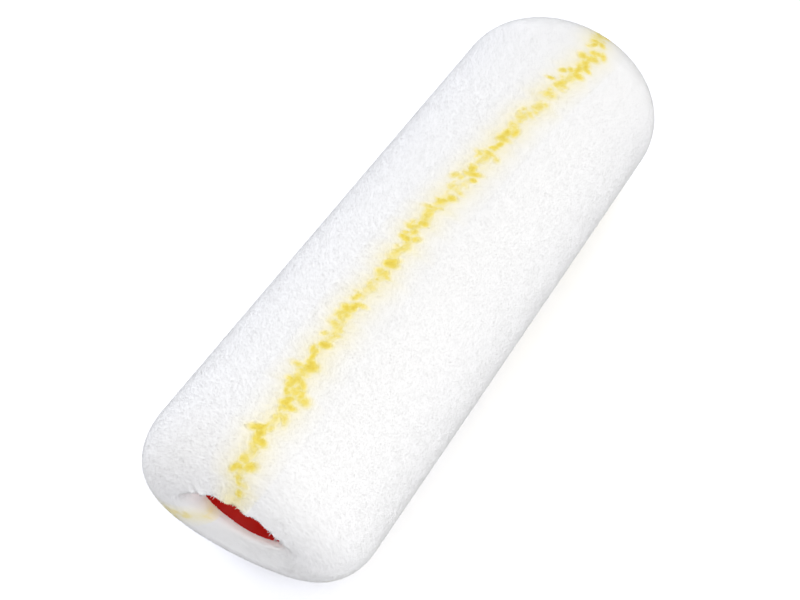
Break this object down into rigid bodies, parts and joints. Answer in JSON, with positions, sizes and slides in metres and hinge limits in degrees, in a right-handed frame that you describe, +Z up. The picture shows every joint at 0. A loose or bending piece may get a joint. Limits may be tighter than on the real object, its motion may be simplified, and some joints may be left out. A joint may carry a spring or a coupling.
{
  "type": "paint roller sleeve",
  "caption": "Plush paint roller sleeve with rounded ends and yellow marker stripes on a plastic core, turning on bearing bushes in its end plugs.",
  "frame": {"origin": "on the surface that the sleeve lies on, under the middle of its length", "axes": "+X along the sleeve's spin axis, +Z up"},
  "size_m": [0.25, 0.084, 0.0831],
  "materials": {
    "white_pile": "matte",
    "yellow_pile": "matte",
    "ground_cloth": "matte",
    "red_polypropylene": "satin",
    "acetal": "satin"
  },
  "bodies": {
    "bearings": {"bush_left": "acetal", "bush_right": "acetal"},
    "sleeve": {"core_tube": "red_polypropylene", "backing_cloth": "ground_cloth", "white_pile_1": "white_pile", "white_pile_2": "white_pile", "white_pile_3": "white_pile", "yellow_stripe_1": "yellow_pile", "yellow_stripe_2": "yellow_pile", "yellow_stripe_3": "yellow_pile", "end_plug_left": "red_polypropylene", "end_plug_right": "red_polypropylene"}
  },
  "joints": [
    {"name": "sleeve_spin", "type": "hinge", "parent": "bearings", "child": "sleeve", "pos_m": [0, 0, 0.0411], "axis": [1, 0, 0], "continuous": true}
  ]
}
